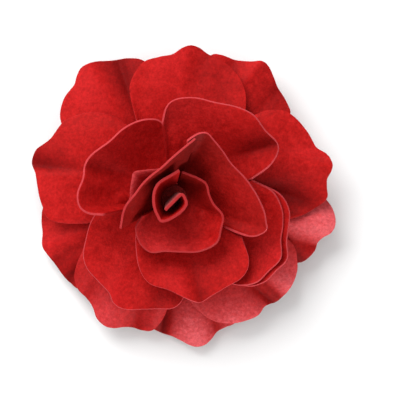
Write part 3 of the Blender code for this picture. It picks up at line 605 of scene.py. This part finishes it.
def grid_bmesh(sheet):
    """A mesh of the sheet's points, joined as a grid."""
    across, along = sheet.shape[0] - 1, sheet.shape[1] - 1
    bm = bmesh.new()
    bmesh.ops.create_grid(bm, x_segments=across, y_segments=along, size=1.0)
    for vert in bm.verts:
        i = round((vert.co.x + 1) / 2 * across)
        j = round((vert.co.y + 1) / 2 * along)
        vert.co = sheet[i, j]
        vert.index = i * (along + 1) + j
    bm.verts.sort()
    bmesh.ops.reverse_faces(bm, faces=bm.faces)
    return bm


def easing(count, share):
    """A matrix that blurs count + 1 evenly spaced values over a share of their span."""
    place = np.arange(count + 1) / count
    weight = np.exp(-((place[:, None] - place[None, :]) ** 2) / (2 * share**2))
    return weight / weight.sum(axis=1, keepdims=True)


def lay_on(sheet, laid):
    """Raises the sheet where it would touch the petals already laid, and eases the rise around."""
    need = np.zeros(sheet.shape[:2])
    down = Vector((0, 0, -1))
    for tree in laid:
        for i, j in np.ndindex(need.shape):
            x, y, z = sheet[i, j]
            hit, normal, _, _ = tree.ray_cast(Vector((x, y, 200.0)), down)
            if hit is not None:
                clear = LAY / max(abs(normal.z), 0.3)
                need[i, j] = max(need[i, j], hit.z + clear - z)
    need = sliding_max(sliding_max(need, 3).T, 2).T
    lift = need.copy()
    blur_across, blur_along = easing(ACROSS, EASE[0]), easing(ALONG, EASE[1])
    for _ in range(30):
        lift = np.maximum(need, blur_across @ lift @ blur_along.T * 0.98)
    sheet[:, :, 2] += easing(ACROSS, 1.3 / ACROSS) @ lift @ easing(ALONG, 1.0 / ALONG).T
    return sheet


def sliding_max(values, reach):
    """Each row's greatest value within reach rows of it."""
    padded = np.pad(values, ((reach, reach), (0, 0)), mode="edge")
    return np.max([padded[k:k + len(values)] for k in range(2 * reach + 1)], axis=0)


def widened(sheet):
    """The sheet with its rim and sides carried on a little, so the next petal clears the edges."""
    big = sheet.copy()
    for edge, inner in ((big[:, -1], big[:, -2]), (big[0], big[1]), (big[-1], big[-2])):
        way = edge - inner
        edge += way * (0.9 / np.linalg.norm(way, axis=1, keepdims=True))
    return big


def leather_object(node, sheet, thickness, materials, painted_fold_shading=None, sheen_shade_levels=(0.0,), raw=1.0):
    """A petal's leather. Its painted shading follows the given fold shading: a painted highlight where
    positive, painted shade where negative.

    Without it, painted shade darkens it towards its root.
    """
    obj = new_object(node + "_leather", grid_bmesh(sheet * MM), *materials)
    rim_share = np.tile(np.linspace(0, 1, sheet.shape[1]), (sheet.shape[0], 1))
    if painted_fold_shading is None:
        painted_fold_shading = rim_share - 1
    across = np.linspace(0, 1, len(sheet))
    painted_sheen_and_shade = np.interp(across, np.linspace(0, 1, len(sheen_shade_levels)), sheen_shade_levels)[:, None] * np.ones(painted_fold_shading.shape)
    # A painted pale sheen gathers at the rim and on the crests, and painted shade, where negative, is even
    gathered = painted_sheen_and_shade * rim_share**1.5 * np.clip(0.75 + 1.8 * painted_fold_shading, 0, 1.8)
    painted_sheen_and_shade = np.where(painted_sheen_and_shade > 0, gathered, painted_sheen_and_shade)
    # A paler cut rim: worn-off colour plus a painted highlight.
    pale_edge_share = raw * np.interp(rim_share, (0.93, 0.99), (0, 1))
    for key, values in (("raw", pale_edge_share), ("painted_fold_shading", painted_fold_shading), ("painted_sheen_and_shade", painted_sheen_and_shade)):
        made = obj.data.attributes.new(key, "FLOAT", "POINT")
        made.data.foreach_set("value", values.ravel().astype(np.float32))
    thicken(obj, thickness, EDGE_ROUND, back_material=1, edge_material=2)
    stand_in(obj, node, "flower")


def make_petals(materials):
    laid = []
    for petal in PETALS:
        sheet, relief = petal_sheet(petal)
        sheet = lay_on(sheet, laid)
        guide = grid_bmesh(widened(sheet))
        laid.append(BVHTree.FromBMesh(guide))
        guide.free()
        # Half the relief sets the painted shading: a painted highlight on crests, painted shade in hollows.
        leather_object(petal.name, sheet, LEATHER, materials, relief / 2, petal.sheen_shade_levels, petal.raw)


def make_roll(materials):
    """The innermost petal: a strip of leather on edge, rolled up and narrower at its foot."""
    plan = spline(ROLL_PLAN, 161)
    low, high = ROLL_HEIGHTS
    share = np.linspace(0, 1, 25)
    size = ROLL_TAPER + (1 - ROLL_TAPER) * share
    sheet = np.zeros((len(plan), len(share), 3))
    sheet[:, :, :2] = plan[:, None, :] * size[None, :, None]
    folded = np.interp(np.linspace(0, 1, len(plan)), ROLL_FOLD, (1, 0))
    sheet[:, :, :2] += folded[:, None, None] * (1 - share)[None, :, None] * np.array(ROLL_LEAN)
    sheet[:, :, 2] = low + (high - low) * share
    # With no fold shading given, the roll gets painted shade towards its foot, and a dimmer painted edge
    # highlight.
    leather_object("bud_roll", sheet[::-1], ROLL_LEATHER, materials, raw=0.45)


# ------------------------------------------------------------------ core and backing


def turned(profile, steps):
    """A closed mesh turned about Z, from a profile (radius, z) that starts and ends on the axis."""
    sheet = np.zeros((steps + 1, len(profile), 3))
    for i in range(steps + 1):
        angle = 2 * math.pi * i / steps
        for j, (radius, z) in enumerate(profile):
            sheet[i, j] = (radius * math.cos(angle), radius * math.sin(angle), z)
    bm = grid_bmesh(sheet * MM)
    bmesh.ops.remove_doubles(bm, verts=bm.verts, dist=1e-7)
    bmesh.ops.recalc_face_normals(bm, faces=bm.faces)
    return bm


def rounded_disc(radius, bottom, top, rounding, rings=10):
    """The profile of a disc with rounded edges, from the middle of its top to that of its bottom."""
    points = [(r, top) for r in np.linspace(0, radius - rounding, rings)]
    for angle in np.linspace(90, 0, 5)[1:]:
        turn = math.radians(angle)
        points.append((radius - rounding * (1 - math.cos(turn)), top - rounding * (1 - math.sin(turn))))
    points += [(r, top + bottom - z) for r, z in reversed(points)]
    return points


def roughen(bm, height, grain):
    """Moves each vertex a little along its normal, by noise whose grain is in millimetres."""
    bm.normal_update()
    moves = [(v, v.normal * height * MM * noise.noise(v.co / (grain * MM))) for v in bm.verts]
    for vert, move in moves:
        vert.co += move


def make_core(finish):
    """The wound core, seen only in the heart of the bud."""
    profile = rounded_disc(CORE_HEAD_RADIUS, CORE_TOP - 0.9, CORE_TOP, 0.3, 28)
    half = len(profile) // 2 + 2
    foot = DISC_TOP + GAP
    profile = [*profile[:half], *CORE_STEPS, (CORE_STEPS[-1][0], foot), (0, foot)]
    bm = turned(profile, 72)
    for vert in bm.verts:
        radius = vert.co.xy.length / MM
        turns = math.atan2(vert.co.y, vert.co.x) / (2 * math.pi)
        layer = (radius / LEATHER + turns) % 1.0
        if vert.co.z > (CORE_TOP - 0.1) * MM and radius < CORE_HEAD_RADIUS - 0.4:
            vert.co.z -= CORE_GROOVE * MM * abs(2 * layer - 1) ** 6
    stand_in(new_object("wound_core", bm, finish), "bud_core", "flower")


def make_backing(suede, wool):
    """The suede disc that the petals are glued to, and the felt cover with room for the clip."""
    disc = turned(rounded_disc(DISC_RADIUS, DISC_BOTTOM, DISC_TOP, 0.35, 24), 160)
    roughen(disc, 0.05, 1.1)
    stand_in(new_object("backing_disc", disc, suede), "base_disc", "flower")
    profile = rounded_disc(FELT_RADIUS, FELT_BOTTOM, FELT_TOP, 0.3)
    cover = new_object("felt_backing", turned(profile, 96), wool)
    beside_arm, beside_hinge = ARM_WIDTH / 2 + GAP, ARM_WIDTH / 2 + 1.2
    channel = box_cutter("arm_channel", (-20, -beside_arm, ARM_BOTTOM - GAP), (20, beside_arm, FELT_TOP + 1))
    notch = box_cutter("hinge_notch", (EAR_X[0] - 1.2, -beside_hinge, 0), (20, beside_hinge, 10))
    for cutter in (channel, notch):
        cut = cover.modifiers.new(cutter.name, "BOOLEAN")
        cut.operation = "DIFFERENCE"
        cut.object = cutter
    fluff = cover.modifiers.new("even_mesh", "REMESH")
    fluff.mode = "VOXEL"
    fluff.voxel_size = 0.3 * MM
    apply_modifiers(cover)
    for cutter in (channel, notch):
        bpy.data.objects.remove(cutter)
    bm = bmesh.new()
    bm.from_mesh(cover.data)
    roughen(bm, 0.10, 0.7)
    bm.to_mesh(cover.data)
    bm.free()
    cover.data.materials.clear()
    cover.data.materials.append(wool)
    stand_in(cover, "felt_cover", "flower")


def box_cutter(name, low, high):
    """A box between its lowest and its highest corner."""
    bm = bmesh.new()
    bmesh.ops.create_cube(bm, size=1.0)
    for vert in bm.verts:
        vert.co = [(a + (b - a) * (share + 0.5)) * MM for a, b, share in zip(low, high, vert.co)]
    return new_object(name, bm)


# ------------------------------------------------------------------ clip


def strip_object(name, start, bends, halves, finish):
    """A strip of sheet steel that starts at (x, z) and runs along X.

    bends gives its slope in degrees at distances along it, and halves its half width. Each end is
    rounded by the half width it has there.
    """
    length = halves[-1][0]
    places, widths = zip(*halves)
    first, last = widths[0], widths[-1]
    ends = 1 - np.cos(np.linspace(0, math.pi / 2, 12))
    straight = np.linspace(first, length - last, 60)
    along = np.concatenate([first * ends[:-1], straight, length - last * ends[-2::-1]])
    half = np.interp(along, places, widths)
    for reach, distance in ((first, along), (last, length - along)):
        inside = np.clip(reach - distance, 0, reach * 0.998)
        half *= np.sqrt(1 - (inside / reach) ** 2)
    fine = np.linspace(0, length, 1200)
    slope = np.radians(np.interp(fine, *zip(*bends)))[:-1]
    step = fine[1]
    x = start[0] + np.concatenate([[0], np.cumsum(np.cos(slope) * step)])
    z = start[1] + np.concatenate([[0], np.cumsum(np.sin(slope) * step)])
    sheet = np.zeros((13, len(along), 3))
    sheet[:, :, 0] = np.interp(along, fine, x)
    sheet[:, :, 1] = np.linspace(1, -1, 13)[:, None] * half
    sheet[:, :, 2] = np.interp(along, fine, z)
    return steel_sheet(name, sheet, finish)


def steel_sheet(name, sheet, finish):
    obj = new_object(name, grid_bmesh(sheet * MM), finish)
    thicken(obj, STEEL, STEEL_ROUND)
    return obj


def upright_plate(name, outline, y, finish):
    """A plate of sheet steel in the plane at y, with rounded edges. outline is drawn as (x, z)."""
    curve = straight_curve(name, [(x, z, 0) for x, z in outline])
    curve.dimensions = "2D"
    curve.fill_mode = "BOTH"
    curve.extrude = (STEEL / 2 - STEEL_ROUND) * MM
    curve.bevel_depth = STEEL_ROUND * MM
    curve.bevel_resolution = 2
    curve.offset = -STEEL_ROUND * MM
    curve.splines[0].use_cyclic_u = True
    bm = curve_bmesh(curve)
    bm.transform(Matrix.Translation((0, y * MM, 0)) @ Matrix.Rotation(math.pi / 2, 4, "X"))
    return new_object(name, bm, finish)


def straight_curve(name, points):
    """A curve of straight lines through points in millimetres."""
    curve = bpy.data.curves.new(name, "CURVE")
    curve.dimensions = "3D"
    line = curve.splines.new("POLY")
    line.points.add(len(points) - 1)
    for point, place in zip(line.points, points):
        point.co = (*(c * MM for c in place), 1)
    return curve


def curve_bmesh(curve):
    """The surface of a curve as a closed mesh."""
    drawn = bpy.data.objects.new(curve.name, curve)
    bpy.context.scene.collection.objects.link(drawn)
    bpy.context.view_layer.update()
    bm = bmesh.new()
    bm.from_mesh(evaluated_mesh(drawn))
    bpy.data.objects.remove(drawn)
    bmesh.ops.remove_doubles(bm, verts=bm.verts, dist=1e-6)
    bmesh.ops.recalc_face_normals(bm, faces=bm.faces)
    return bm


def outer_ear(name, side, finish):
    """A flange bent down from the arm's side to carry the hinge pin."""
    down = ARM_WIDTH / 2 - STEEL / 2
    top = ARM_BOTTOM + STEEL / 2
    shoulder_half, drop = EAR_SHOULDER
    shoulder = PIVOT[1] - drop
    path = [(down - STEEL_BEND - 0.9, top)]
    for angle in np.linspace(90, 0, 8):
        turn = math.radians(angle)
        path.append((down - STEEL_BEND * (1 - math.cos(turn)), top - STEEL_BEND * (1 - math.sin(turn))))
    path += [(down, z) for z in np.linspace(top - STEEL_BEND - 0.4, shoulder, 5)]
    for angle in (20, 40, 60, 75, 85, 89):
        path.append((down, shoulder - (EAR_RADIUS - drop) * math.sin(math.radians(angle))))
    sheet = np.zeros((17, len(path), 3))
    for j, (y, z) in enumerate(path):
        if z > shoulder:
            widening = (EAR_X[1] - EAR_X[0]) / 2 - shoulder_half
            half = shoulder_half + (z - shoulder) / (top - shoulder) * widening
        else:
            half = math.sqrt(max(EAR_RADIUS**2 - (z - PIVOT[1]) ** 2, 0.01))
        sheet[:, j] = [(x, side * y, z) for x in PIVOT[0] + np.linspace(-half, half, 17) * side]
    return steel_sheet(name, sheet, finish)


def arc(centre, radius, start, stop, count):
    """Points on an arc, from start to stop in degrees."""
    return [
        (centre[0] + radius * math.cos(math.radians(a)), centre[1] + radius * math.sin(math.radians(a)))
        for a in np.linspace(start, stop, count)
    ]


def joined(name, parts, node, body):
    """Makes one steel piece of several meshes."""
    bm = bmesh.new()
    for part in parts:
        bm.from_mesh(part.data)
    finish = parts[0].data.materials[0]
    for part in parts:
        bpy.data.objects.remove(part)
    obj = new_object(name, bm, finish)
    stand_in(obj, node, body)
    obj.data.set_sharp_from_angle(angle=math.radians(35))


def make_clip(steel, wire):
    make_arm(steel)
    make_jaw(steel)
    make_pin(steel)
    make_spring(wire)


def make_arm(steel):
    """The arm that is glued to the flower: drooped nose, flat blade, raised tail and two outer ears."""
    middle, half = ARM_BOTTOM + STEEL / 2, ARM_WIDTH / 2
    bends = ((0, NOSE_ANGLE), (2.4, NOSE_ANGLE), (3.6, 0), (35.6, 0), (37.6, TAIL_ANGLE))
    halves = ((0, 1.4), (1.4, 2.1), (3, 2.4), (36.6, half), (48.0, half))
    arm = strip_object("arm", (BEAK_X - 0.14, middle - 1.22), bends, halves, steel)
    ears = [outer_ear(f"ear_{side}", side, steel) for side in (-1, 1)]
    joined("sprung_arm", [arm, *ears], "clip_upper_arm", "flower")


def make_jaw(steel):
    """The jaw that swings: flat sole, two toothed walls that grow into inner ears, and its tail."""
    half, tail_half = JAW_WIDTH / 2, ARM_WIDTH / 2
    halves = ((0, 1.2), (1, 1.7), (4, half), (37.4, half), (38.8, tail_half), (47.0, tail_half))
    sole = strip_object("sole", (BEAK_X, STEEL / 2), ((0, 0), (47, 0)), halves, steel)
    tooth_top = FELT_BOTTOM - GAP
    tooth_foot = tooth_top - TOOTH_HEIGHT
    wall_end = BEAK_X + 4
    crest = []
    x = FIRST_TOOTH_X
    while x > wall_end + TOOTH_PITCH / 2:
        crest += [(x, tooth_foot), (x - TOOTH_PITCH / 2, tooth_top)]
        x -= TOOTH_PITCH
    wall = [(wall_end, STEEL / 2), (EAR_X[1], STEEL / 2), *arc(PIVOT, INNER_EAR_RADIUS, 0, 180, 17),
            (6.0, 2.2), *crest, (wall_end, tooth_foot)]
    walls = [upright_plate(f"wall_{side}", wall, side * (half - STEEL / 2), steel) for side in (-1, 1)]
    joined("toothed_jaw", [sole, *walls], "clip_lower_jaw", "lower_jaw")


def make_pin(steel):
    """A rivet across all four ears, with a domed head at each end."""
    grip = ARM_WIDTH / 2 + 0.1
    dome = ((0, 0.55), (0.35, 0.60), (0.7, 0.58), (1.05, 0.47), (1.3, 0.3), (1.45, 0.12), (1.5, 0))
    head = [(radius, grip + height) for radius, height in dome] + [(PIN_RADIUS, grip)]
    rivet = turned([*head, *[(radius, -z) for radius, z in reversed(head)]], 48)
    bmesh.ops.rotate(rivet, verts=rivet.verts, matrix=Matrix.Rotation(math.pi / 2, 3, "X"))
    bmesh.ops.translate(rivet, verts=rivet.verts, vec=(PIVOT[0] * MM, 0, PIVOT[1] * MM))
    pin = new_object("hinge_rivet", rivet, steel)
    stand_in(pin, "hinge_pin", "flower")
    pin.data.set_sharp_from_angle(angle=math.radians(50))


def make_spring(wire):
    """The torsion spring round the pin. Its coil winds up between the arm and the jaw."""
    turns, per_turn, start = 4, 24, 66
    reach, half, radius = 9.5, 1.9, 1.66
    steps = turns * per_turn
    points = [(reach, -half, 3.7), (7.2, -half, 2.82), (5.0, -half, 1.98), (2.8, -half, 1.78)]
    points.append((0.9, -half, radius))
    for n in range(2, steps - 1):
        angle = math.radians(start + n * 360 / per_turn)
        y = half * (2 * n / steps - 1)
        points.append((radius * math.cos(angle), y, radius * math.sin(angle)))
    points += [(1.2, half, -radius + 0.08), (3.0, half, -1.76), (5.0, half, -1.86), (7.5, half, -1.9)]
    points.append((reach, half, -1.9))
    curve = straight_curve("torsion_wire", [(PIVOT[0] + x, y, PIVOT[1] + z) for x, y, z in points])
    curve.bevel_depth = SPRING_WIRE * MM
    curve.bevel_resolution = 5
    curve.use_fill_caps = True
    spring = new_object("torsion_coil", curve_bmesh(curve), wire)
    spring.data.shade_smooth()
    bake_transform(spring)
    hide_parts("torsion_spring")


# ------------------------------------------------------------------ stage


def softbox(name, place, size, power):
    """A round area light that faces the flower."""
    light = bpy.data.lights.new(name, "AREA")
    light.shape = "DISK"
    light.size = size
    light.energy = power
    obj = bpy.data.objects.new(name, light)
    obj.location = place
    obj.rotation_euler = (Vector(LIGHT_TARGET) - obj.location).to_track_quat("-Z", "Y").to_euler()
    bpy.context.scene.collection.objects.link(obj)


def make_floor():
    bm = bmesh.new()
    bmesh.ops.create_circle(bm, cap_ends=True, segments=96, radius=3.0)
    s = Shader("floor_paper", 0.9)
    s.colour(s.ramp(s.noise(3.0, 2), (0.3, (0.78, 0.78, 0.78)), (0.7, (0.80, 0.80, 0.80))))
    floor = new_object("floor", bm, s.material)
    floor.location.z = -0.0002


def make_world():
    """An even pale surround, a little brighter above."""
    world = bpy.data.worlds.new("studio")
    world.use_nodes = True
    tree = world.node_tree
    way = tree.nodes.new("ShaderNodeTexCoord")
    split = tree.nodes.new("ShaderNodeSeparateXYZ")
    ramp = tree.nodes.new("ShaderNodeValToRGB")
    for element, shade in zip(ramp.color_ramp.elements, (0.70, 0.75)):
        element.color = (shade, shade, shade, 1.0)
    tree.links.new(way.outputs["Generated"], split.inputs[0])
    tree.links.new(split.outputs["Z"], ramp.inputs["Fac"])
    tree.links.new(ramp.outputs["Color"], tree.nodes["Background"].inputs["Color"])
    tree.nodes["Background"].inputs["Strength"].default_value = 1.0
    bpy.context.scene.world = world


def make_camera():
    camera = bpy.data.cameras.new("camera")
    camera.sensor_width = SENSOR
    camera.lens = SENSOR * (CAMERA_HEIGHT - VIEW_LEVEL) / VIEW_WIDTH
    camera.clip_end = 10.0
    obj = bpy.data.objects.new("camera", camera)
    obj.location = (*VIEW_CENTRE, CAMERA_HEIGHT)
    bpy.context.scene.collection.objects.link(obj)
    bpy.context.scene.camera = obj
    bpy.context.scene.view_settings.view_transform = "Standard"


def main():
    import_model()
    petal_materials = [grain_leather(), flesh_leather(), edge_leather()]
    make_petals(petal_materials)
    make_roll(petal_materials)
    make_core(core_leather())
    make_backing(backing_leather(), felt())
    make_clip(nickel_steel(), spring_steel())
    make_floor()
    make_world()
    for light in LIGHTS:
        softbox(*light)
    make_camera()


main()
